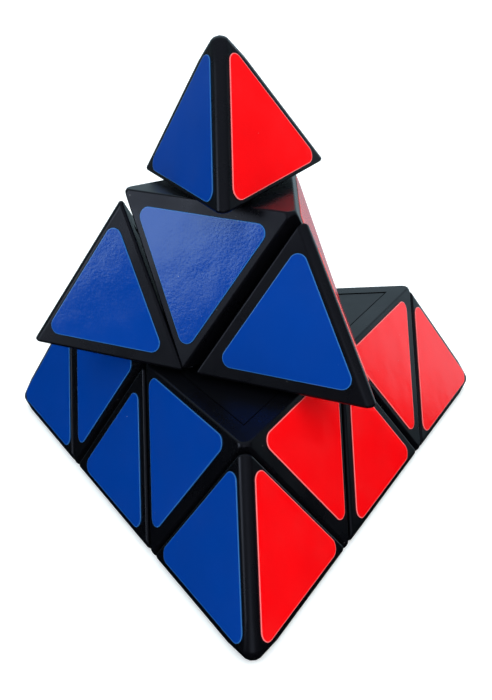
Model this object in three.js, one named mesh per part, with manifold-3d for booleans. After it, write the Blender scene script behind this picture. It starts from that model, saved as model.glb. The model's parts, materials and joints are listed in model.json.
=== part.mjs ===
// A pyramid twisty puzzle: four tips, four axial pieces and six edge pieces that turn about four
// axes, held together by a ball core with sprung screws. Millimetres, +Z up, standing on one face.
// The puzzle is shown part-way through a turn of its top layer.
import * as THREE from 'three';
import { ConvexGeometry } from 'three/addons/geometries/ConvexGeometry.js';
import { mergeVertices } from 'three/addons/utils/BufferGeometryUtils.js';
import Module from 'manifold-3d';

const wasm = await Module();
wasm.setup();

// Overall size. Every block is cut from one sharp tetrahedron by planes square to the four axes.
const EDGE = 98; // edge of the sharp tetrahedron
const FACE = EDGE / Math.sqrt(24); // centre of the puzzle to an outer face
const LAYER = FACE / 3; // centre to the plane that a whole layer turns on
const TIP = FACE * 5 / 3; // centre to the plane that a tip turns on

// How the puzzle stands: turns from the solved shape, in degrees, and lifts in millimetres.
const AXIAL_TURN = 28.7;
const EDGES_TURN = 32.3;
const TIP_TURN = -3.8;
const AXIAL_LIFT = 0.15;
const EDGES_LIFT = 0.15;
const TIP_LIFT = 0.5;
const TIP_SHIFT = -0.7; // sideways, within the slack of its socket
const TIP_LEAN = 2;
const TIP_LEAN_TOWARDS = 210; // direction of the lean seen from above, counted from +X

// Plastic blocks.
const ROUND = 1.2; // radius along every moulded edge
const ROUND_STEPS = 3;
const WALL = 1.7;
const PLAY = 0.42; // each block stands back this far from a layer plane
const TIP_PLAY = 0.2; // and this far from a tip plane
const SEAM = 0.3; // gap between a shell and the inner half that closes it
const SINK = 0.12; // inner halves lie this far below their shell's face
const RIM = 2.8; // width of shell left around an inner half, square to the outer faces

// The turning mechanism: a spherical shell of feet around the core.
const FOOT_IN = 11;
const FOOT_OUT = 16;
const SKIRT = 16.6; // radius of the hollow under the axial pieces
const LAYER_CONE = 76; // half-angle of the cone that a layer's feet keep inside
const CONE_GAP = 1; // half of the angular gap between neighbouring feet
const CONE_REACH = 30; // the cutting cones end well outside the feet
const CORE_R = 7.5;
const ARM_R = 4.6;
const ARM_END = 10.8;
const HUB_R = 6;
const HUB_FLOOR = 11.3;
const FLOOR = 2;
const HUB_TOP = 27;
const WELL_R = 3.7;
const RIB = 2;
const RIB_TOP = 21.5;

// Fasteners and springs.
const SHAFT_R = 1.4;
const SHAFT_END = 4.6;
const BORE_R = 1.7;
const BORE_END = 4.2;
const HEAD_R = 3;
const HEAD_H = 2;
const HEAD_BASE = 21;
const DRIVE = 0.7; // width of a bar of the cross recess
const WASHER_H = 0.5;
const WIRE_R = 0.35;
const COIL_R = 2.55;
const COILS = 4;
const COIL_STEPS = 8;

// The snap stem of a tip.
const SOCKET_R = 4.3;
const STEM_R = 3.3;
const BARB_R = 4.8;
const STEM_END = 27.6;
const SLOT = 1;

const ROUND_SEGMENTS = 16;
const BALL_SEGMENTS = 24;

const DIRECTIONS = {
  top: new THREE.Vector3(0, 0, 1),
  front: new THREE.Vector3(0, -Math.sqrt(8) / 3, -1 / 3),
  right: new THREE.Vector3(Math.sqrt(2 / 3), Math.sqrt(2) / 3, -1 / 3),
  left: new THREE.Vector3(-Math.sqrt(2 / 3), Math.sqrt(2) / 3, -1 / 3),
};
const UNDER_TOP = ['front', 'right', 'left'];

const blackPlastic = new THREE.MeshStandardMaterial({ color: 0x08090b, roughness: 0.22 });
const innerPlastic = new THREE.MeshStandardMaterial({ color: 0x0b0c0e, roughness: 0.4 });
const steel = new THREE.MeshStandardMaterial({ color: 0xb4b6b8, roughness: 0.35, metalness: 1 });

// A plane of a block: the block is where direction . point stays under reach.
function towards(name, reach) {
  return { normal: DIRECTIONS[name].clone(), reach };
}

function awayFrom(name, reach) {
  return { normal: DIRECTIONS[name].clone().negate(), reach };
}

function crossing(a, b, c) {
  const rows = new THREE.Matrix3().set(
    a.normal.x, a.normal.y, a.normal.z,
    b.normal.x, b.normal.y, b.normal.z,
    c.normal.x, c.normal.y, c.normal.z,
  );
  if (Math.abs(rows.determinant()) < 1e-6) return null;
  return new THREE.Vector3(a.reach, b.reach, c.reach).applyMatrix3(rows.invert());
}

// Each corner of the block that the planes enclose, with the directions of the planes that meet there.
function cornersOf(planes) {
  const corners = [];
  const tight = (plane, point) => Math.abs(plane.normal.dot(point) - plane.reach) < 1e-6;
  const outside = (plane, point) => plane.normal.dot(point) > plane.reach + 1e-6;
  for (let i = 0; i < planes.length; i++) {
    for (let j = i + 1; j < planes.length; j++) {
      for (let k = j + 1; k < planes.length; k++) {
        const point = crossing(planes[i], planes[j], planes[k]);
        if (!point || planes.some((plane) => outside(plane, point))) continue;
        if (corners.some((corner) => corner.point.distanceTo(point) < 1e-6)) continue;
        const normals = planes.filter((plane) => tight(plane, point)).map((plane) => plane.normal);
        corners.push({ point, normals });
      }
    }
  }
  return corners;
}

function sharpBlock(planes) {
  return new ConvexGeometry(cornersOf(planes).map((corner) => corner.point));
}

// The same block with every edge and corner rounded: the hull of a small ball at each inset corner.
function roundedBlock(planes) {
  const inset = planes.map(({ normal, reach }) => ({ normal, reach: reach - ROUND }));
  const points = [];
  for (const { point, normals } of cornersOf(inset)) {
    const middle = normals.reduce((sum, normal) => sum.add(normal), new THREE.Vector3());
    points.push(middle.setLength(ROUND).add(point));
    for (const normal of normals) {
      points.push(normal.clone().multiplyScalar(ROUND).add(point));
    }
    for (let i = 0; i < normals.length; i++) {
      for (let j = i + 1; j < normals.length; j++) {
        for (let step = 1; step < ROUND_STEPS; step++) {
          const between = normals[i].clone().lerp(normals[j], step / ROUND_STEPS);
          points.push(between.setLength(ROUND).add(point));
        }
      }
    }
  }
  return new ConvexGeometry(points);
}

function grownBy(planes, amount) {
  return planes.map(({ normal, reach }) => ({ normal, reach: reach + amount }));
}

// Conversions between drawn geometry and the solids that are joined and cut.
function solid(geometry) {
  const bare = geometry.clone();
  bare.deleteAttribute('normal');
  bare.deleteAttribute('uv');
  const merged = mergeVertices(bare, 1e-4);
  return new wasm.Manifold(new wasm.Mesh({
    numProp: 3,
    vertProperties: new Float32Array(merged.attributes.position.array),
    triVerts: new Uint32Array(merged.index.array),
  }));
}

function geometryOf(manifold) {
  const mesh = manifold.getMesh();
  const geometry = new THREE.BufferGeometry();
  geometry.setAttribute('position', new THREE.BufferAttribute(mesh.vertProperties, 3));
  geometry.setIndex(new THREE.BufferAttribute(mesh.triVerts, 1));
  geometry.computeVertexNormals();
  return geometry;
}

// A turned solid about +Z, from [radius, height] pairs.
function turned(profile, segments = ROUND_SEGMENTS) {
  const points = profile.map(([radius, height]) => new THREE.Vector2(radius, height));
  return new THREE.LatheGeometry(points, segments).rotateX(Math.PI / 2);
}

function rod(radius, from, to) {
  return turned([[0, from], [radius, from], [radius, to], [0, to]]);
}

function ring(inner, outer, from, to) {
  return turned([[inner, from], [outer, from], [outer, to], [inner, to], [inner, from]]);
}

function ball(radius, segments = BALL_SEGMENTS) {
  return new THREE.SphereGeometry(radius, segments, segments / 2);
}

function box(width, depth, from, to) {
  return new THREE.BoxGeometry(width, depth, to - from).translate(0, 0, (from + to) / 2);
}

// The rotation that carries the top and front axes onto two others.
function turnOnto(first, second) {
  const basis = (a, b) => {
    const middle = a.clone().add(b).normalize();
    const across = a.clone().sub(b).normalize();
    return new THREE.Matrix4().makeBasis(middle, across, middle.clone().cross(across));
  };
  const from = basis(DIRECTIONS.top, DIRECTIONS.front);
  const onto = basis(DIRECTIONS[first], DIRECTIONS[second]);
  return onto.multiply(from.transpose());
}

// Everything within an angle of an axis, as a solid that ends outside the feet.
function coneAbout(name, halfAngle) {
  const angle = THREE.MathUtils.degToRad(halfAngle);
  const rim = [CONE_REACH * Math.sin(angle), CONE_REACH * Math.cos(angle)];
  const cone = turned([[0, 0], rim, [rim[0], CONE_REACH], [0, CONE_REACH]], BALL_SEGMENTS);
  const other = name === 'top' ? 'front' : 'top';
  return solid(cone.applyMatrix4(turnOnto(name, other)));
}

// The outlines of the three kinds of block, where the top axis and the front axis meet them.
const outerFaces = UNDER_TOP.map((name) => awayFrom(name, FACE));
const tipBlock = [...outerFaces, awayFrom('top', -TIP - TIP_PLAY)];
const axialBlock = [
  ...outerFaces,
  towards('top', TIP - TIP_PLAY),
  awayFrom('top', -LAYER - PLAY),
  ...UNDER_TOP.map((name) => towards(name, LAYER - PLAY)),
];
const edgeBlock = [
  awayFrom('left', FACE),
  awayFrom('right', FACE),
  awayFrom('top', -LAYER - PLAY),
  awayFrom('front', -LAYER - PLAY),
];

function hollowBlock(planes) {
  return solid(roundedBlock(planes)).subtract(solid(sharpBlock(grownBy(planes, -WALL))));
}

// Tip: a hollow shell, closed below by a plate with a split snap stem.
function tipPlate(margin, bottom, top) {
  const sides = UNDER_TOP.map((name) => awayFrom(name, FACE - margin));
  return solid(sharpBlock([...sides, awayFrom('top', -bottom), towards('top', top)]));
}

function tipShell() {
  const opening = tipPlate(RIM, TIP - 1, TIP + TIP_PLAY + WALL + 1);
  return hollowBlock(tipBlock).subtract(opening);
}

function tipBase() {
  const bottom = TIP + TIP_PLAY + SINK;
  const underPlate = TIP - TIP_PLAY - WALL - TIP_LIFT - SEAM;
  const stem = turned([
    [0, STEM_END],
    [STEM_R, STEM_END],
    [BARB_R, underPlate - 1.2],
    [BARB_R, underPlate - 0.4],
    [STEM_R, underPlate],
    [STEM_R, bottom + 1],
    [0, bottom + 1],
  ]);
  const slot = box(2 * BARB_R + 1, SLOT, STEM_END - 1, bottom - 1);
  return tipPlate(RIM + SEAM, bottom, bottom + WALL).add(solid(stem)).subtract(solid(slot));
}

// Axial piece: an eight-sided shell over the feet, and an inner half that the core's screw holds.
function axialPanel(side, margin, near, far, below) {
  const neighbours = UNDER_TOP.filter((name) => name !== side);
  return solid(sharpBlock([
    ...neighbours.map((name) => awayFrom(name, FACE - margin)),
    towards(side, near),
    awayFrom(side, -far),
    awayFrom('top', -below),
  ]));
}

function axialShell() {
  let shell = hollowBlock(axialBlock).subtract(solid(ball(SKIRT)));
  for (const side of UNDER_TOP) {
    const window = axialPanel(side, RIM, LAYER + 1, LAYER - PLAY - WALL - 1, LAYER - 2);
    shell = shell.subtract(window);
  }
  return shell.subtract(solid(rod(SOCKET_R, HUB_TOP, TIP + 1)));
}

// A web that joins a panel to the hub.
function axialRib(side, far) {
  const across = DIRECTIONS.top.clone().cross(DIRECTIONS[side]).normalize();
  return solid(sharpBlock([
    { normal: across, reach: RIB / 2 },
    { normal: across.clone().negate(), reach: RIB / 2 },
    towards('top', RIB_TOP),
    awayFrom('top', -SKIRT),
    towards(side, far),
    awayFrom(side, HUB_R / 2),
  ]));
}

function axialInner() {
  const face = LAYER - PLAY - SINK;
  let inner = solid(rod(HUB_R, HUB_FLOOR, HUB_TOP));
  for (const side of UNDER_TOP) {
    const panel = axialPanel(side, RIM + SEAM, face, face - WALL, LAYER + PLAY + SINK);
    inner = inner.add(panel.subtract(solid(ball(SKIRT)))).add(axialRib(side, face - WALL / 2));
  }
  const well = solid(rod(WELL_R, HUB_FLOOR + FLOOR, HUB_TOP + 1));
  return inner.subtract(well).subtract(solid(rod(BORE_R, HUB_FLOOR - 1, HUB_TOP)));
}

// Edge piece: a shell with the two outer faces, and a foot that runs under the axial pieces.
function edgePanel(side, other, margin, near, far) {
  return solid(sharpBlock([
    awayFrom('left', FACE - margin),
    awayFrom('right', FACE - margin),
    awayFrom(side, -near),
    towards(side, far),
    awayFrom(other, -near),
  ]));
}

function edgeShell() {
  let shell = hollowBlock(edgeBlock).subtract(solid(ball(SKIRT)));
  for (const [side, other] of [['top', 'front'], ['front', 'top']]) {
    shell = shell.subtract(edgePanel(side, other, RIM, LAYER - 1, LAYER + PLAY + WALL + 1));
  }
  return shell;
}

function edgeFoot() {
  const near = LAYER + PLAY + SINK;
  let foot = solid(ball(FOOT_OUT)).subtract(solid(ball(FOOT_IN)));
  for (const name of ['top', 'front']) {
    foot = foot.intersect(coneAbout(name, LAYER_CONE - CONE_GAP));
  }
  for (const name of ['left', 'right']) {
    foot = foot.subtract(coneAbout(name, LAYER_CONE + CONE_GAP));
  }
  for (const [side, other] of [['top', 'front'], ['front', 'top']]) {
    foot = foot.add(edgePanel(side, other, RIM + SEAM, near, near + WALL));
  }
  return foot;
}

// Core: a ball with one bored arm on each axis.
function coreBody() {
  let body = solid(ball(CORE_R, ROUND_SEGMENTS));
  for (const name of Object.keys(DIRECTIONS)) {
    const turn = turnOnto(name, name === 'top' ? 'front' : 'top');
    body = body.add(solid(rod(ARM_R, 0, ARM_END).applyMatrix4(turn)));
  }
  for (const name of Object.keys(DIRECTIONS)) {
    const turn = turnOnto(name, name === 'top' ? 'front' : 'top');
    body = body.subtract(solid(rod(BORE_R, BORE_END, ARM_END + 1).applyMatrix4(turn)));
  }
  return body;
}

function screw() {
  const body = turned([
    [0, SHAFT_END],
    [SHAFT_R / 2, SHAFT_END],
    [SHAFT_R, SHAFT_END + 1],
    [SHAFT_R, HEAD_BASE],
    [HEAD_R, HEAD_BASE],
    [HEAD_R, HEAD_BASE + HEAD_H * 0.6],
    [HEAD_R * 0.7, HEAD_BASE + HEAD_H],
    [0, HEAD_BASE + HEAD_H],
  ]);
  const bar = [HEAD_BASE + HEAD_H * 0.4, HEAD_BASE + HEAD_H + 1];
  const cross = solid(box(HEAD_R, DRIVE, ...bar)).add(solid(box(DRIVE, HEAD_R, ...bar)));
  return solid(body).subtract(cross);
}

class Helix extends THREE.Curve {
  constructor(radius, from, to, turns) {
    super();
    Object.assign(this, { radius, from, to, turns });
  }

  getPoint(t, target = new THREE.Vector3()) {
    const angle = 2 * Math.PI * this.turns * t;
    const height = this.from + (this.to - this.from) * t;
    return target.set(this.radius * Math.cos(angle), this.radius * Math.sin(angle), height);
  }
}

function spring() {
  const wire = new THREE.Shape().absarc(0, 0, WIRE_R, 0, 2 * Math.PI);
  const from = HUB_FLOOR + FLOOR + SEAM + WIRE_R;
  const to = HEAD_BASE - SEAM - WASHER_H - SEAM - WIRE_R;
  return new THREE.ExtrudeGeometry(wire, {
    steps: COILS * COIL_STEPS,
    curveSegments: 3,
    extrudePath: new Helix(COIL_R, from, to, COILS),
  });
}

function washer() {
  return ring(BORE_R, HEAD_R, HEAD_BASE - SEAM - WASHER_H, HEAD_BASE - SEAM);
}

// One geometry for each kind of piece, shared by its copies.
const shapes = {
  tipShell: geometryOf(tipShell()),
  tipBase: geometryOf(tipBase()),
  axialShell: geometryOf(axialShell()),
  axialInner: geometryOf(axialInner()),
  edgeShell: geometryOf(edgeShell()),
  edgeFoot: geometryOf(edgeFoot()),
  core: geometryOf(coreBody()),
  screw: geometryOf(screw()),
  spring: spring(),
  washer: washer(),
};

function place(group, name, geometry, material, turn) {
  const mesh = new THREE.Mesh(geometry, material);
  mesh.name = name;
  mesh.applyMatrix4(turn);
  group.add(mesh);
}

// A group turned about +Z and lifted along it.
function liftedGroup(parent, degrees, lift) {
  const group = new THREE.Group();
  group.rotation.z = THREE.MathUtils.degToRad(degrees);
  group.position.z = lift;
  parent.add(group);
  return group;
}

const puzzle = new THREE.Group();
const topAxial = liftedGroup(puzzle, AXIAL_TURN, AXIAL_LIFT);
const topEdges = liftedGroup(puzzle, EDGES_TURN, EDGES_LIFT);

// The top tip sits a little to one side and leans on its loose stem.
const tipLean = new THREE.Group();
const leanAngle = THREE.MathUtils.degToRad(TIP_LEAN_TOWARDS + 90);
const leanAxis = new THREE.Vector3(Math.cos(leanAngle), Math.sin(leanAngle), 0);
tipLean.quaternion.setFromAxisAngle(leanAxis, THREE.MathUtils.degToRad(TIP_LEAN));
tipLean.position.set(TIP_SHIFT, 0, TIP + TIP_LIFT);
puzzle.add(tipLean);
const topTip = liftedGroup(tipLean, TIP_TURN, -TIP);

place(puzzle, 'core', shapes.core, innerPlastic, new THREE.Matrix4());
for (const name of Object.keys(DIRECTIONS)) {
  const turn = turnOnto(name, name === 'top' ? 'front' : 'top');
  const axialGroup = name === 'top' ? topAxial : puzzle;
  const tipGroup = name === 'top' ? topTip : puzzle;
  place(puzzle, `${name}_screw`, shapes.screw, steel, turn);
  place(puzzle, `${name}_washer`, shapes.washer, steel, turn);
  place(puzzle, `${name}_spring`, shapes.spring, steel, turn);
  place(axialGroup, `${name}_axial_shell`, shapes.axialShell, blackPlastic, turn);
  place(axialGroup, `${name}_axial_inner`, shapes.axialInner, innerPlastic, turn);
  place(tipGroup, `${name}_tip_shell`, shapes.tipShell, blackPlastic, turn);
  place(tipGroup, `${name}_tip_base`, shapes.tipBase, innerPlastic, turn);
}

const edges = [
  ['top', 'front'], ['top', 'right'], ['top', 'left'],
  ['front', 'right'], ['right', 'left'], ['left', 'front'],
];
for (const [first, second] of edges) {
  const group = first === 'top' ? topEdges : puzzle;
  const turn = turnOnto(first, second);
  place(group, `${first}_${second}_edge_shell`, shapes.edgeShell, blackPlastic, turn);
  place(group, `${first}_${second}_edge_foot`, shapes.edgeFoot, innerPlastic, turn);
}

// The origin is under the middle of the whole puzzle, on the surface that it stands on.
const extent = new THREE.Box3().setFromObject(puzzle, true);
const middle = extent.getCenter(new THREE.Vector3());
puzzle.position.set(-middle.x, -middle.y, -extent.min.z);

export default puzzle;
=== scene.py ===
"""The looks of a stickered pyramid twisty puzzle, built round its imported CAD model, in metres."""

import json
import math
from itertools import combinations

import bmesh
import bpy
from mathutils import Matrix, Vector


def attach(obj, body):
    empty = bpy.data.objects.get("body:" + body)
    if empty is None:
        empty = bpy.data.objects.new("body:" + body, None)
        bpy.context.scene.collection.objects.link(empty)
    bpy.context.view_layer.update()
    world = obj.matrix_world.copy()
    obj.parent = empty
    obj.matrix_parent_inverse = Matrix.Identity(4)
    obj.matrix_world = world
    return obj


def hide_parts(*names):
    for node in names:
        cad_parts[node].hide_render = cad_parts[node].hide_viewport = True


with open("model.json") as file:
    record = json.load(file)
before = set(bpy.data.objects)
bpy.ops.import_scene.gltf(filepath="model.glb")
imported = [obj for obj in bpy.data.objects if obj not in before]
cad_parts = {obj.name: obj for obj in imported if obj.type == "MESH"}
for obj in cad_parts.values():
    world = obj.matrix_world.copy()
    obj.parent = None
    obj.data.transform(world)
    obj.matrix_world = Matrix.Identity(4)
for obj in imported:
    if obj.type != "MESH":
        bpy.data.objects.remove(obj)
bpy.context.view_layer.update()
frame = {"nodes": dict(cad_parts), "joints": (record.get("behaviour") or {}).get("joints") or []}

MM = 0.001

# Sizes shared with the CAD model.
EDGE = 98 * MM
FACE = EDGE / math.sqrt(24)
LAYER = FACE / 3
TIP = FACE * 5 / 3
AXIAL_TURN = 28.7
EDGES_TURN = 32.3
TIP_TURN = -3.8
LAYER_LIFT = 0.15 * MM
WALL = 1.7 * MM
PLAY = 0.42 * MM
TIP_PLAY = 0.2 * MM
RIM = 2.8 * MM
SKIRT = 16.6 * MM
SOCKET_R = 4.3 * MM

# Roundness of the plastic: the ridges between two coloured faces, the pyramid's corners, other edges.
RIDGE_ROUND = 1.35 * MM
VERTEX_ROUND = 1.8 * MM
VERTEX_REACH = 5.0 * MM
SEAM_ROUND = 0.42 * MM
ROUND_STEPS = 9
BALL_SEGMENTS = 96
SMOOTH_ANGLE = math.radians(28)
FLAT_ANGLE = math.radians(0.3)

# Stickers: margins to the sides of the sharp facelet, square to each side.
TIP_OUTER = 2.2 * MM
TIP_INNER = 1.1 * MM
AXIAL_TO_TIP = 2.5 * MM
AXIAL_TO_EDGE = 1.45 * MM
EDGE_OUTER = 2.15 * MM
EDGE_INNER = 2.35 * MM
TOP_TRIM = 0.3 * MM
STICKER_THICK = 0.16 * MM
STICKER_ROUND = 1.6 * MM
STICKER_SUNK = 0.02 * MM
ARC_STEPS = 14

# Cutting the shells: how far a cutter passes what it cuts, and how far a block is trimmed back.
CLEAR = 1 * MM
SPARE = 3 * MM
SOCKET_DEPTH = 4 * MM
SILL = 2 * MM

# Tolerances: points taken for one, points merged in a hull, and planes too near to parallel.
SAME_POINT = 1e-7
MERGE = 1e-6
NEAR_PARALLEL = 1e-6

# A fine break on the sharp edges of the inner halves.
EDGE_BREAK = 0.12 * MM
EDGE_BREAK_ANGLE = math.radians(40)

DIRECTIONS = {
    "top": Vector((0, 0, 1)),
    "front": Vector((0, -math.sqrt(8) / 3, -1 / 3)),
    "right": Vector((math.sqrt(2 / 3), math.sqrt(2) / 3, -1 / 3)),
    "left": Vector((-math.sqrt(2 / 3), math.sqrt(2) / 3, -1 / 3)),
}
UNDER_TOP = ("front", "right", "left")
FACE_COLOURS = {"right": "blue", "left": "red", "front": "green", "top": "yellow"}
EDGES = (
    ("top", "front"),
    ("top", "right"),
    ("top", "left"),
    ("front", "right"),
    ("right", "left"),
    ("left", "front"),
)
JOINTS = {joint["name"]: joint for joint in frame["joints"]}
CENTRE = Vector(JOINTS["top_layer_turn"]["pos_m"])


# ---------------------------------------------------------------- places

def turn_onto(first, second):
    """The rotation that carries the top and front axes onto two others."""

    def basis(a, b):
        middle = (a + b).normalized()
        across = (a - b).normalized()
        return Matrix((middle, across, middle.cross(across))).transposed()

    start = basis(DIRECTIONS["top"], DIRECTIONS["front"])
    return (basis(DIRECTIONS[first], DIRECTIONS[second]) @ start.inverted()).to_4x4()


def placements():
    """Where the core's frame is carried to, for each CAD body."""
    centre = Matrix.Translation(CENTRE)
    lifted = Matrix.Translation(CENTRE + Vector((0, 0, LAYER_LIFT)))
    joint = JOINTS["top_tip_turn"]
    lean = Vector((0, 0, 1)).rotation_difference(Vector(joint["axis"])).to_matrix().to_4x4()
    tip = (
        Matrix.Translation(joint["pos_m"])
        @ lean
        @ Matrix.Rotation(math.radians(TIP_TURN), 4, "Z")
        @ Matrix.Translation((0, 0, -TIP))
    )
    return {
        "top_axial": lifted @ Matrix.Rotation(math.radians(AXIAL_TURN), 4, "Z"),
        "top_edges": lifted @ Matrix.Rotation(math.radians(EDGES_TURN), 4, "Z"),
        "top_tip": tip,
        "root": centre,
        "front_tip": centre,
        "right_tip": centre,
        "left_tip": centre,
    }


PLACES = placements()


# ---------------------------------------------------------------- solids from planes

def towards(name, reach):
    return DIRECTIONS[name], reach


def away_from(name, reach):
    return -DIRECTIONS[name], reach


def grown(planes, amount):
    return [(normal, reach + amount) for normal, reach in planes]


def crossing(planes):
    rows = Matrix([normal for normal, _ in planes])
    if abs(rows.determinant()) < NEAR_PARALLEL:
        return None
    return rows.inverted() @ Vector([reach for _, reach in planes])


def corners_of(planes):
    """Each corner of the block inside the planes, with the normals of the planes that meet there."""
    corners = []
    for trio in combinations(planes, 3):
        point = crossing(trio)
        if point is None or any(n.dot(point) > reach + SAME_POINT for n, reach in planes):
            continue
        if any((point - known).length < SAME_POINT for known, _ in corners):
            continue
        corners.append((point, [n for n, reach in planes if abs(n.dot(point) - reach) < SAME_POINT]))
    return corners


def directions_of(corners):
    """Directions spread evenly between the normals that meet at each corner."""
    found = []
    for _, normals in corners:
        for a, b, c in combinations(normals, 3):
            for i in range(ROUND_STEPS + 1):
                for j in range(ROUND_STEPS + 1 - i):
                    found.append((a * i + b * j + c * (ROUND_STEPS - i - j)).normalized())
    return found


def rolled(points, directions, radius):
    """Points on the surface that a ball leaves when it is rolled over the hull of the points."""
    surface = []
    for direction in directions:
        heights = [direction.dot(point) for point in points]
        top = max(heights) - SAME_POINT
        surface += [point + direction * radius for point, height in zip(points, heights) if height > top]
    return surface


def hull(points):
    mesh = bmesh.new()
    for point in points:
        mesh.verts.new(point)
    bmesh.ops.remove_doubles(mesh, verts=mesh.verts, dist=MERGE)
    made = bmesh.ops.convex_hull(mesh, input=mesh.verts)
    spare = [g for g in made["geom_interior"] + made["geom_unused"] if isinstance(g, bmesh.types.BMVert)]
    bmesh.ops.delete(mesh, geom=list(set(spare)), context="VERTS")
    bmesh.ops.dissolve_limit(mesh, angle_limit=FLAT_ANGLE, verts=mesh.verts, edges=mesh.edges)
    bmesh.ops.recalc_face_normals(mesh, faces=mesh.faces)
    return mesh


def as_object(mesh, name):
    data = bpy.data.meshes.new(name)
    mesh.to_mesh(data)
    mesh.free()
    obj = bpy.data.objects.new(name, data)
    bpy.context.scene.collection.objects.link(obj)
    return obj


def sharp_block(planes):
    return as_object(hull([point for point, _ in corners_of(planes)]), "cutter")


def ridge_ends(outer, wide):
    """Points whose hull, rolled over, has the ridges; at a corner of the pyramid they stand back."""
    ends = []
    for point, normals in corners_of(grown(outer, -RIDGE_ROUND) + wide):
        coloured = [normal for normal in normals if any(normal is plane[0] for plane in outer)]
        if len(coloured) < 3:
            ends.append(point)
            continue
        for a, b in combinations(coloured, 2):
            along = a.cross(b).normalized()
            inward = -1 if along.dot(point) > 0 else 1
            ends.append(point + along * inward * VERTEX_REACH)
    return ends


def rounded_block(outer, inner):
    """The block inside the planes, with round ridges, rounder corners and crisp inner edges."""
    wide = grown(inner, SPARE)
    directions = directions_of(corners_of(outer + wide))
    points = rolled(ridge_ends(outer, wide), directions, RIDGE_ROUND - SEAM_ROUND)
    if len(outer) == 3:
        vertex = [crossing(grown(outer, -VERTEX_ROUND))]
        points += rolled(vertex, directions, VERTEX_ROUND - SEAM_ROUND)
    core = hull(points)
    for normal, reach in grown(inner, -SEAM_ROUND):
        geometry = [*core.verts, *core.edges, *core.faces]
        plane = {"plane_co": normal * reach, "plane_no": normal}
        bmesh.ops.bisect_plane(core, geom=geometry, dist=SAME_POINT, clear_outer=True, **plane)
    points = [vert.co.copy() for vert in core.verts]
    core.free()
    directions += directions_of(corners_of(outer + inner))
    return as_object(hull(rolled(points, directions, SEAM_ROUND)), "block")


def ball(radius):
    mesh = bmesh.new()
    rings = BALL_SEGMENTS // 2
    bmesh.ops.create_uvsphere(mesh, u_segments=BALL_SEGMENTS, v_segments=rings, radius=radius)
    return as_object(mesh, "cutter")


def rod(radius, low, high):
    mesh = bmesh.new()
    bmesh.ops.create_cone(
        mesh,
        cap_ends=True,
        segments=BALL_SEGMENTS // 2,
        radius1=radius,
        radius2=radius,
        depth=high - low,
        matrix=Matrix.Translation((0, 0, (low + high) / 2)),
    )
    return as_object(mesh, "cutter")


def cut(obj, *cutters):
    """Takes each cutter away from obj and removes it."""
    for cutter in cutters:
        modifier = obj.modifiers.new("cut", "BOOLEAN")
        modifier.operation = "DIFFERENCE"
        modifier.solver = "EXACT"
        modifier.object = cutter
        view = bpy.context.evaluated_depsgraph_get()
        data = bpy.data.meshes.new_from_object(obj.evaluated_get(view))
        obj.modifiers.clear()
        obj.data = data
        bpy.data.objects.remove(cutter)
    return obj


# ---------------------------------------------------------------- the three kinds of shell

OUTER_FACES = [away_from(name, FACE) for name in UNDER_TOP]
TIP_SEAM = [away_from("top", -TIP - TIP_PLAY)]
AXIAL_SEAMS = [
    towards("top", TIP - TIP_PLAY),
    away_from("top", -LAYER - PLAY),
    *[towards(name, LAYER - PLAY) for name in UNDER_TOP],
]
EDGE_FACES = [away_from("left", FACE), away_from("right", FACE)]
EDGE_SEAMS = [away_from("top", -LAYER - PLAY), away_from("front", -LAYER - PLAY)]


def hollow_block(outer, inner):
    return cut(rounded_block(outer, inner), sharp_block(grown(outer + inner, -WALL)))


def tip_shell():
    opening = [away_from(name, FACE - RIM) for name in UNDER_TOP]
    opening += [away_from("top", CLEAR - TIP), towards("top", TIP + TIP_PLAY + WALL + CLEAR)]
    return cut(hollow_block(OUTER_FACES, TIP_SEAM), sharp_block(opening))


def axial_shell():
    cutters = [ball(SKIRT), rod(SOCKET_R, TIP - SOCKET_DEPTH, TIP + CLEAR)]
    for side in UNDER_TOP:
        window = [away_from(name, FACE - RIM) for name in UNDER_TOP if name != side]
        window += [
            towards(side, LAYER + CLEAR),
            away_from(side, PLAY + WALL + CLEAR - LAYER),
            away_from("top", SILL - LAYER),
        ]
        cutters.append(sharp_block(window))
    return cut(hollow_block(OUTER_FACES, AXIAL_SEAMS), *cutters)


def edge_shell():
    cutters = [ball(SKIRT)]
    for side, other in (("top", "front"), ("front", "top")):
        window = [away_from("left", FACE - RIM), away_from("right", FACE - RIM)]
        window += [
            away_from(side, CLEAR - LAYER),
            towards(side, LAYER + PLAY + WALL + CLEAR),
            away_from(other, CLEAR - LAYER),
        ]
        cutters.append(sharp_block(window))
    return cut(hollow_block(EDGE_FACES, EDGE_SEAMS), *cutters)


def smooth(obj):
    """Shades the rounds smoothly and keeps the flat faces flat."""
    mesh = bmesh.new()
    mesh.from_mesh(obj.data)
    for face in mesh.faces:
        face.smooth = True
    for edge in mesh.edges:
        edge.smooth = len(edge.link_faces) == 2 and edge.calc_face_angle() < SMOOTH_ANGLE
    mesh.to_mesh(obj.data)
    mesh.free()
    weighted = obj.modifiers.new("flat faces stay flat", "WEIGHTED_NORMAL")
    weighted.keep_sharp = True
    weighted.mode = "FACE_AREA"
    weighted.weight = 100


def shell_copy(kind, name, body, turn, material):
    """One copy of a shell kind, set down at its place in the shared frame."""
    data = kind.data.copy()
    data.name = name
    data.transform(PLACES[body] @ turn)
    obj = bpy.data.objects.new(name, data)
    bpy.context.scene.collection.objects.link(obj)
    data.materials.clear()
    data.materials.append(material)
    smooth(obj)
    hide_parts(name)
    obj.name = name + "_moulding"
    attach(obj, body)


def tip_body(name):
    return f"{name}_tip"


def axial_body(name):
    return "top_axial" if name == "top" else "root"


def edge_body(first):
    return "top_edges" if first == "top" else "root"


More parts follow.
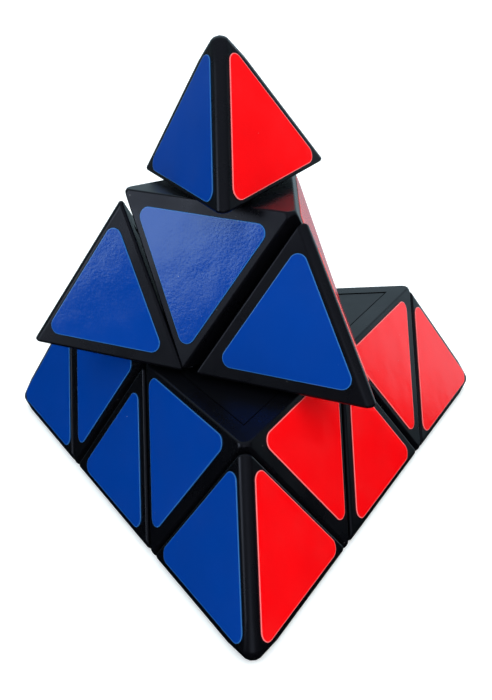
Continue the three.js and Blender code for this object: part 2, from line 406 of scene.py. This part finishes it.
def build_shells(material):
    tip, axial, edge = tip_shell(), axial_shell(), edge_shell()
    for name in DIRECTIONS:
        turn = turn_onto(name, "front" if name == "top" else "top")
        shell_copy(tip, f"{name}_tip_shell", tip_body(name), turn, material)
        shell_copy(axial, f"{name}_axial_shell", axial_body(name), turn, material)
    for first, second in EDGES:
        name = f"{first}_{second}_edge_shell"
        shell_copy(edge, name, edge_body(first), turn_onto(first, second), material)
    for kind in (tip, axial, edge):
        bpy.data.objects.remove(kind)


# ---------------------------------------------------------------- stickers

def facelet(face, sides):
    """Corners of a facelet on the face opposite an axis, each side standing back by its margin."""
    plane = away_from(face, FACE)
    slant = math.sqrt(8) / 3
    drawn_in = [(normal, reach - margin * slant) for (normal, reach), margin in sides]
    return [crossing((plane, a, b)) for a, b in combinations(drawn_in, 2)]


def rounded_outline(corners, radius, inset):
    """The facelet's outline, counter-clockwise seen from outside, its corners rounded."""
    normal = (corners[1] - corners[0]).cross(corners[2] - corners[0]).normalized()
    if normal.dot(corners[0]) < 0:
        normal = -normal
        corners = corners[::-1]
    outline = []
    for index, corner in enumerate(corners):
        back = (corners[index - 1] - corner).normalized()
        ahead = (corners[(index + 1) % 3] - corner).normalized()
        half = back.angle(ahead) / 2
        centre = corner + (back + ahead).normalized() * (radius / math.sin(half))
        start = normal.cross(back)
        sweep = math.pi - 2 * half
        for step in range(ARC_STEPS + 1):
            turn = Matrix.Rotation(sweep * step / ARC_STEPS, 3, normal)
            outline.append(centre + turn @ start * (radius - inset))
    return outline, normal


def sticker_mesh(corners):
    """A thin plate with a softened edge. The attribute rim is 1 on that edge and 0 inside it."""
    # Each ring of the plate: inset from the outline, height, and the rim attribute.
    profile = (
        (0, -STICKER_SUNK, 1),
        (0, STICKER_THICK * 0.6, 1),
        (0.03 * MM, STICKER_THICK * 0.93, 1),
        (0.09 * MM, STICKER_THICK, 1),
        (0.17 * MM, STICKER_THICK, 0),
    )
    mesh = bmesh.new()
    rim = mesh.verts.layers.float.new("rim")
    loops = []
    for inset, height, edge in profile:
        outline, normal = rounded_outline(corners, STICKER_ROUND, inset)
        loop = [mesh.verts.new(point + normal * height) for point in outline]
        for vert in loop:
            vert[rim] = edge
        loops.append(loop)
    for below, above in zip(loops, loops[1:]):
        for i in range(len(below)):
            j = (i + 1) % len(below)
            mesh.faces.new((below[i], below[j], above[j], above[i]))
    mesh.faces.new(loops[-1])
    mesh.faces.new(loops[0][::-1])
    for face in mesh.faces:
        face.smooth = len(face.verts) == 4
    return mesh


def build_sticker(name, body, face, sides, materials):
    colour = FACE_COLOURS[face]
    obj = as_object(sticker_mesh(facelet(face, sides)), f"{name}_sticker_{colour}")
    obj.data.transform(PLACES[body])
    obj.data.materials.append(materials[colour])
    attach(obj, body)


def build_stickers(materials):
    for name in DIRECTIONS:
        trim = TOP_TRIM if name == "top" else 0
        others = [other for other in DIRECTIONS if other != name]
        for face in others:
            beside = [other for other in others if other != face]
            tip_sides = [(away_from(other, FACE), TIP_OUTER + trim) for other in beside]
            tip_sides.append((away_from(name, -TIP), TIP_INNER))
            build_sticker(f"{name}_tip", tip_body(name), face, tip_sides, materials)
            axial_sides = [(towards(other, LAYER), AXIAL_TO_EDGE + trim) for other in beside]
            axial_sides.append((towards(name, TIP), AXIAL_TO_TIP))
            build_sticker(f"{name}_axial", axial_body(name), face, axial_sides, materials)
    for first, second in EDGES:
        trim = TOP_TRIM if first == "top" else 0
        faces = [name for name in DIRECTIONS if name not in (first, second)]
        for face, other in (faces, faces[::-1]):
            sides = [
                (away_from(other, FACE), EDGE_OUTER),
                (away_from(first, -LAYER), EDGE_INNER + trim),
                (away_from(second, -LAYER), EDGE_INNER + trim),
            ]
            build_sticker(f"{first}_{second}_edge", edge_body(first), face, sides, materials)


# ---------------------------------------------------------------- materials

BLACK = (0.0016, 0.0017, 0.0026)
PALE_DUST = (0.05, 0.05, 0.048)
BLACK_GLINT = (1.0, 0.8, 0.92, 1)
SHELL_ROUGHNESS = 0.27
INNER_ROUGHNESS = 0.3

# How deep the unevenness of each surface is.
BLACK_WAVES = 0.04 * MM
BLACK_PEEL = 0.0025 * MM
VINYL_WAVES = 0.05 * MM
VINYL_PEEL = 0.015 * MM
STEEL_GRAIN = 0.004 * MM

# Each colour's ink, and its paler cut edge.
STICKER_COLOURS = {
    "blue": ((0.0, 0.036, 0.25), (0.02, 0.11, 0.32)),
    "red": ((0.84, 0.001, 0.003), (0.85, 0.16, 0.16)),
    "green": ((0.0, 0.24, 0.035), (0.08, 0.38, 0.12)),
    "yellow": ((0.9, 0.6, 0.0), (0.9, 0.75, 0.25)),
}


class Shader:
    """A Principled material with short ways to add and link nodes."""

    def __init__(self, name, colour, roughness, **settings):
        self.material = bpy.data.materials.new(name)
        self.material.use_nodes = True
        self.tree = self.material.node_tree
        self.surface = self.tree.nodes["Principled BSDF"]
        self.surface.inputs["Base Color"].default_value = (*colour, 1)
        self.surface.inputs["Roughness"].default_value = roughness
        for socket, value in settings.items():
            self.surface.inputs[socket.replace("_", " ")].default_value = value
        self.place = self.add("ShaderNodeTexCoord").outputs["Object"]

    def add(self, kind, **settings):
        node = self.tree.nodes.new(kind)
        for name, value in settings.items():
            setattr(node, name, value)
        return node

    def link(self, output, target):
        self.tree.links.new(output, target)

    def noise(self, size, detail=2.0, rough=0.5, stretch=(1, 1, 1), seed=0.0):
        """Noise whose blobs are about size across."""
        mapping = self.add("ShaderNodeMapping")
        self.link(self.place, mapping.inputs["Vector"])
        mapping.inputs["Location"].default_value = (seed, seed * 0.7, seed * 1.3)
        mapping.inputs["Scale"].default_value = stretch
        texture = self.add("ShaderNodeTexNoise")
        self.link(mapping.outputs["Vector"], texture.inputs["Vector"])
        texture.inputs["Scale"].default_value = 1 / size
        texture.inputs["Detail"].default_value = detail
        texture.inputs["Roughness"].default_value = rough
        return texture.outputs["Fac"]

    def spread(self, value, low, high, to_low=0.0, to_high=1.0):
        node = self.add("ShaderNodeMapRange")
        self.link(value, node.inputs["Value"])
        node.inputs["From Min"].default_value = low
        node.inputs["From Max"].default_value = high
        node.inputs["To Min"].default_value = to_low
        node.inputs["To Max"].default_value = to_high
        return node.outputs["Result"]

    def mix(self, factor, first, second):
        node = self.add("ShaderNodeMix", data_type="RGBA")
        self.link(factor, node.inputs[0])
        for socket, value in ((node.inputs[6], first), (node.inputs[7], second)):
            if isinstance(value, tuple):
                socket.default_value = (*value, 1)
            else:
                self.link(value, socket)
        return node.outputs[2]

    def bump(self, height, depth, before=None):
        """Bump of a height that runs from 0 to 1, depth metres deep."""
        node = self.add("ShaderNodeBump")
        node.inputs["Distance"].default_value = depth
        self.link(height, node.inputs["Height"])
        if before is not None:
            self.link(before, node.inputs["Normal"])
        return node.outputs["Normal"]

    def finish(self, colour=None, roughness=None, normal=None):
        for socket, value in (("Base Color", colour), ("Roughness", roughness), ("Normal", normal)):
            if value is not None:
                self.link(value, self.surface.inputs[socket])
        return self.material


def moulded_black(name, roughness, seed):
    """Glossy black moulding: faint orange peel, handling haze and sparse dust."""
    shader = Shader(name, BLACK, roughness, IOR=1.36, Specular_Tint=BLACK_GLINT)
    haze = shader.noise(9 * MM, detail=4, rough=0.6, seed=seed)
    fine = shader.noise(0.5 * MM, detail=3, seed=seed)
    dust = shader.spread(shader.noise(0.8 * MM, detail=1, seed=seed + 5), 0.78, 0.82)
    worn = shader.spread(haze, 0.3, 0.75, roughness - 0.05, roughness + 0.1)
    colour = shader.mix(dust, BLACK, PALE_DUST)
    waves = shader.bump(shader.noise(7 * MM, detail=1, seed=seed), BLACK_WAVES)
    peel = shader.bump(fine, BLACK_PEEL, waves)
    return shader.finish(colour, worn, peel)


def vinyl(colour_name, colour, edge, seed):
    """Glossy coloured vinyl: uneven ink, a paler cut edge, slight waviness and handling marks."""
    shader = Shader(f"vinyl_{colour_name}", colour, 0.16, IOR=1.46)
    rim = shader.add("ShaderNodeAttribute", attribute_name="rim").outputs["Fac"]
    uneven = shader.spread(shader.noise(12 * MM, detail=3, seed=seed), 0.3, 0.7)
    deeper = tuple(0.93 * channel for channel in colour)
    ink = shader.mix(uneven, deeper, colour)
    dust = shader.spread(shader.noise(0.7 * MM, detail=1, seed=seed + 2), 0.83, 0.86)
    dusty = shader.mix(dust, ink, tuple(0.5 * channel + 0.25 for channel in colour))
    shown = shader.mix(rim, dusty, edge)
    haze = shader.spread(shader.noise(5 * MM, detail=4, seed=seed), 0.35, 0.7, 0.08, 0.15)
    waves = shader.bump(shader.noise(5 * MM, detail=1, seed=seed + 1), VINYL_WAVES)
    peel = shader.bump(shader.noise(0.5 * MM, detail=3, rough=0.6, seed=seed), VINYL_PEEL, waves)
    return shader.finish(shown, haze, peel)


def steel():
    """Zinc-plated steel with fine turning marks."""
    shader = Shader("zinc_steel", (0.56, 0.57, 0.58), 0.32, Metallic=1.0)
    grain = shader.noise(0.25 * MM, detail=4, stretch=(1, 1, 6))
    rough = shader.spread(grain, 0.2, 0.8, 0.24, 0.42)
    tint = shader.mix(shader.noise(1.5 * MM), (0.5, 0.51, 0.52), (0.64, 0.64, 0.62))
    return shader.finish(tint, rough, shader.bump(grain, STEEL_GRAIN))


def dress_cad_nodes(inner, metal):
    """Materials and a fine edge break for the CAD nodes that stay."""
    for name, node in frame["nodes"].items():
        if name.endswith("_shell"):
            continue
        node.data.materials.clear()
        is_metal = name.endswith(("screw", "washer", "spring"))
        node.data.materials.append(metal if is_metal else inner)
        if name.endswith(("_inner", "_foot", "_base")):
            edge_break = node.modifiers.new("edge break", "BEVEL")
            edge_break.width = EDGE_BREAK
            edge_break.segments = 2
            edge_break.limit_method = "ANGLE"
            edge_break.angle_limit = EDGE_BREAK_ANGLE


# ---------------------------------------------------------------- camera, floor and light

# The camera: place in metres, angles in degrees, lens in millimetres.
CAMERA_FROM_CENTRE = Vector((1.5, -157.3, 79.6)) * MM
CAMERA_YAW = -0.32
CAMERA_PITCH = -25.98
CAMERA_ROLL = -2.47
LENS = 50.76
CLIP_START = 0.01

# The floor: half its width, its distance below the stickers underneath, and its paper.
FLOOR_HALF = 4.0
FLOOR_GAP = 0.03 * MM
FLOOR_WHITE = (0.86, 0.86, 0.86)
FLOOR_GLOW = 0.35

# Soft lights: name, place, side of the square in metres, power in watts.
LIGHTS = (
    ("front left", (-0.45, -0.75, 0.75), 0.9, 5.0),
    ("front right", (0.65, -0.6, 0.6), 0.9, 6.8),
    ("overhead", (0, 0, 1.2), 1.4, 7.0),
    ("behind", (0, 1.0, 0.6), 0.9, 5.0),
)

# Patches of the reflected room: azimuth, elevation, inner and outer radius in degrees, level.
CEILING = (0, 90, 20, 96, 0.45)
WALL_IN_FRONT = (270, 14, 3, 26, 0.75)
WINDOW_ON_THE_LEFT = (195, 19, 12.0, 14.5, 3.3)
WALL_ON_THE_RIGHT = (45, 0, 18.5, 22, 0.85)
WALL_BEHIND = (90, 8, 32, 58, 0.45)
ROOM_TINT = (0.68, 0.95, 1.08)


def build_camera():
    data = bpy.data.cameras.new("camera")
    data.lens = LENS
    data.clip_start = CLIP_START
    camera = bpy.data.objects.new("camera", data)
    camera.location = CENTRE + CAMERA_FROM_CENTRE
    yaw = Matrix.Rotation(math.radians(-CAMERA_YAW), 4, "Z")
    pitch = Matrix.Rotation(math.radians(90 + CAMERA_PITCH), 4, "X")
    roll = Matrix.Rotation(math.radians(CAMERA_ROLL), 4, "Z")
    camera.rotation_euler = (yaw @ pitch @ roll).to_euler()
    bpy.context.scene.collection.objects.link(camera)
    bpy.context.scene.camera = camera


def build_floor():
    mesh = bmesh.new()
    bmesh.ops.create_grid(mesh, x_segments=1, y_segments=1, size=FLOOR_HALF)
    floor = as_object(mesh, "floor")
    floor.location.z = -STICKER_THICK - FLOOR_GAP
    glow = {"Emission_Color": (1, 1, 1, 1), "Emission_Strength": FLOOR_GLOW}
    shader = Shader("floor_paper", FLOOR_WHITE, 0.9, **glow)
    floor.data.materials.append(shader.finish())
    floor.visible_glossy = False


def soft_light(name, location, size, power):
    """A big square light aimed at the puzzle and left out of its reflections."""
    data = bpy.data.lights.new(name, "AREA")
    data.shape = "SQUARE"
    data.size = size
    data.energy = power
    light = bpy.data.objects.new(name, data)
    light.location = Vector(location)
    light.rotation_euler = (CENTRE - light.location).to_track_quat("-Z", "Y").to_euler()
    light.visible_glossy = False
    bpy.context.scene.collection.objects.link(light)


def build_lights():
    for light in LIGHTS:
        soft_light(*light)


class Room:
    """The room that the gloss reflects: soft patches of light, each about one direction."""

    def __init__(self):
        world = bpy.data.worlds.new("room")
        bpy.context.scene.world = world
        world.use_nodes = True
        self.nodes = world.node_tree.nodes
        self.links = world.node_tree.links
        self.direction = self.nodes.new("ShaderNodeTexCoord").outputs["Generated"]
        self.total = None

    def add(self, value):
        if self.total is None:
            self.total = value
            return
        node = self.nodes.new("ShaderNodeMath")
        self.links.new(self.total, node.inputs[0])
        self.links.new(value, node.inputs[1])
        self.total = node.outputs["Value"]

    def patch(self, azimuth, elevation, inner, outer, level):
        """Adds a round patch: level within inner degrees of its middle, nothing beyond outer."""
        flat, lift = math.radians(azimuth), math.radians(elevation)
        middle = (math.cos(flat) * math.cos(lift), math.sin(flat) * math.cos(lift), math.sin(lift))
        near = self.nodes.new("ShaderNodeVectorMath")
        near.operation = "DOT_PRODUCT"
        self.links.new(self.direction, near.inputs[0])
        near.inputs[1].default_value = middle
        fade = self.nodes.new("ShaderNodeMapRange")
        fade.interpolation_type = "SMOOTHSTEP"
        self.links.new(near.outputs["Value"], fade.inputs["Value"])
        fade.inputs["From Min"].default_value = math.cos(math.radians(outer))
        fade.inputs["From Max"].default_value = math.cos(math.radians(inner))
        fade.inputs["To Max"].default_value = level
        self.add(fade.outputs["Result"])

    def shine(self):
        """Sends the patches to the background. Past the floor the camera sees plain white."""
        seen = self.nodes.new("ShaderNodeLightPath")
        tint = self.nodes.new("ShaderNodeVectorMath")
        tint.operation = "SCALE"
        tint.inputs[0].default_value = ROOM_TINT
        self.links.new(self.total, tint.inputs["Scale"])
        choose = self.nodes.new("ShaderNodeMix")
        choose.data_type = "RGBA"
        self.links.new(seen.outputs["Is Camera Ray"], choose.inputs[0])
        self.links.new(tint.outputs["Vector"], choose.inputs[6])
        choose.inputs[7].default_value = (1, 1, 1, 1)
        self.links.new(choose.outputs[2], self.nodes["Background"].inputs["Color"])


def build_room():
    room = Room()
    for patch in (CEILING, WALL_IN_FRONT, WINDOW_ON_THE_LEFT, WALL_ON_THE_RIGHT, WALL_BEHIND):
        room.patch(*patch)
    room.shine()


def main():
    build_camera()
    build_floor()
    bpy.context.scene.view_settings.view_transform = "Standard"
    build_shells(moulded_black("black_gloss", SHELL_ROUGHNESS, 0.0))
    build_stickers({
        name: vinyl(name, colour, edge, seed)
        for seed, (name, (colour, edge)) in enumerate(STICKER_COLOURS.items())
    })
    dress_cad_nodes(moulded_black("black_satin", INNER_ROUGHNESS, 0.5), steel())
    build_room()
    build_lights()


main()
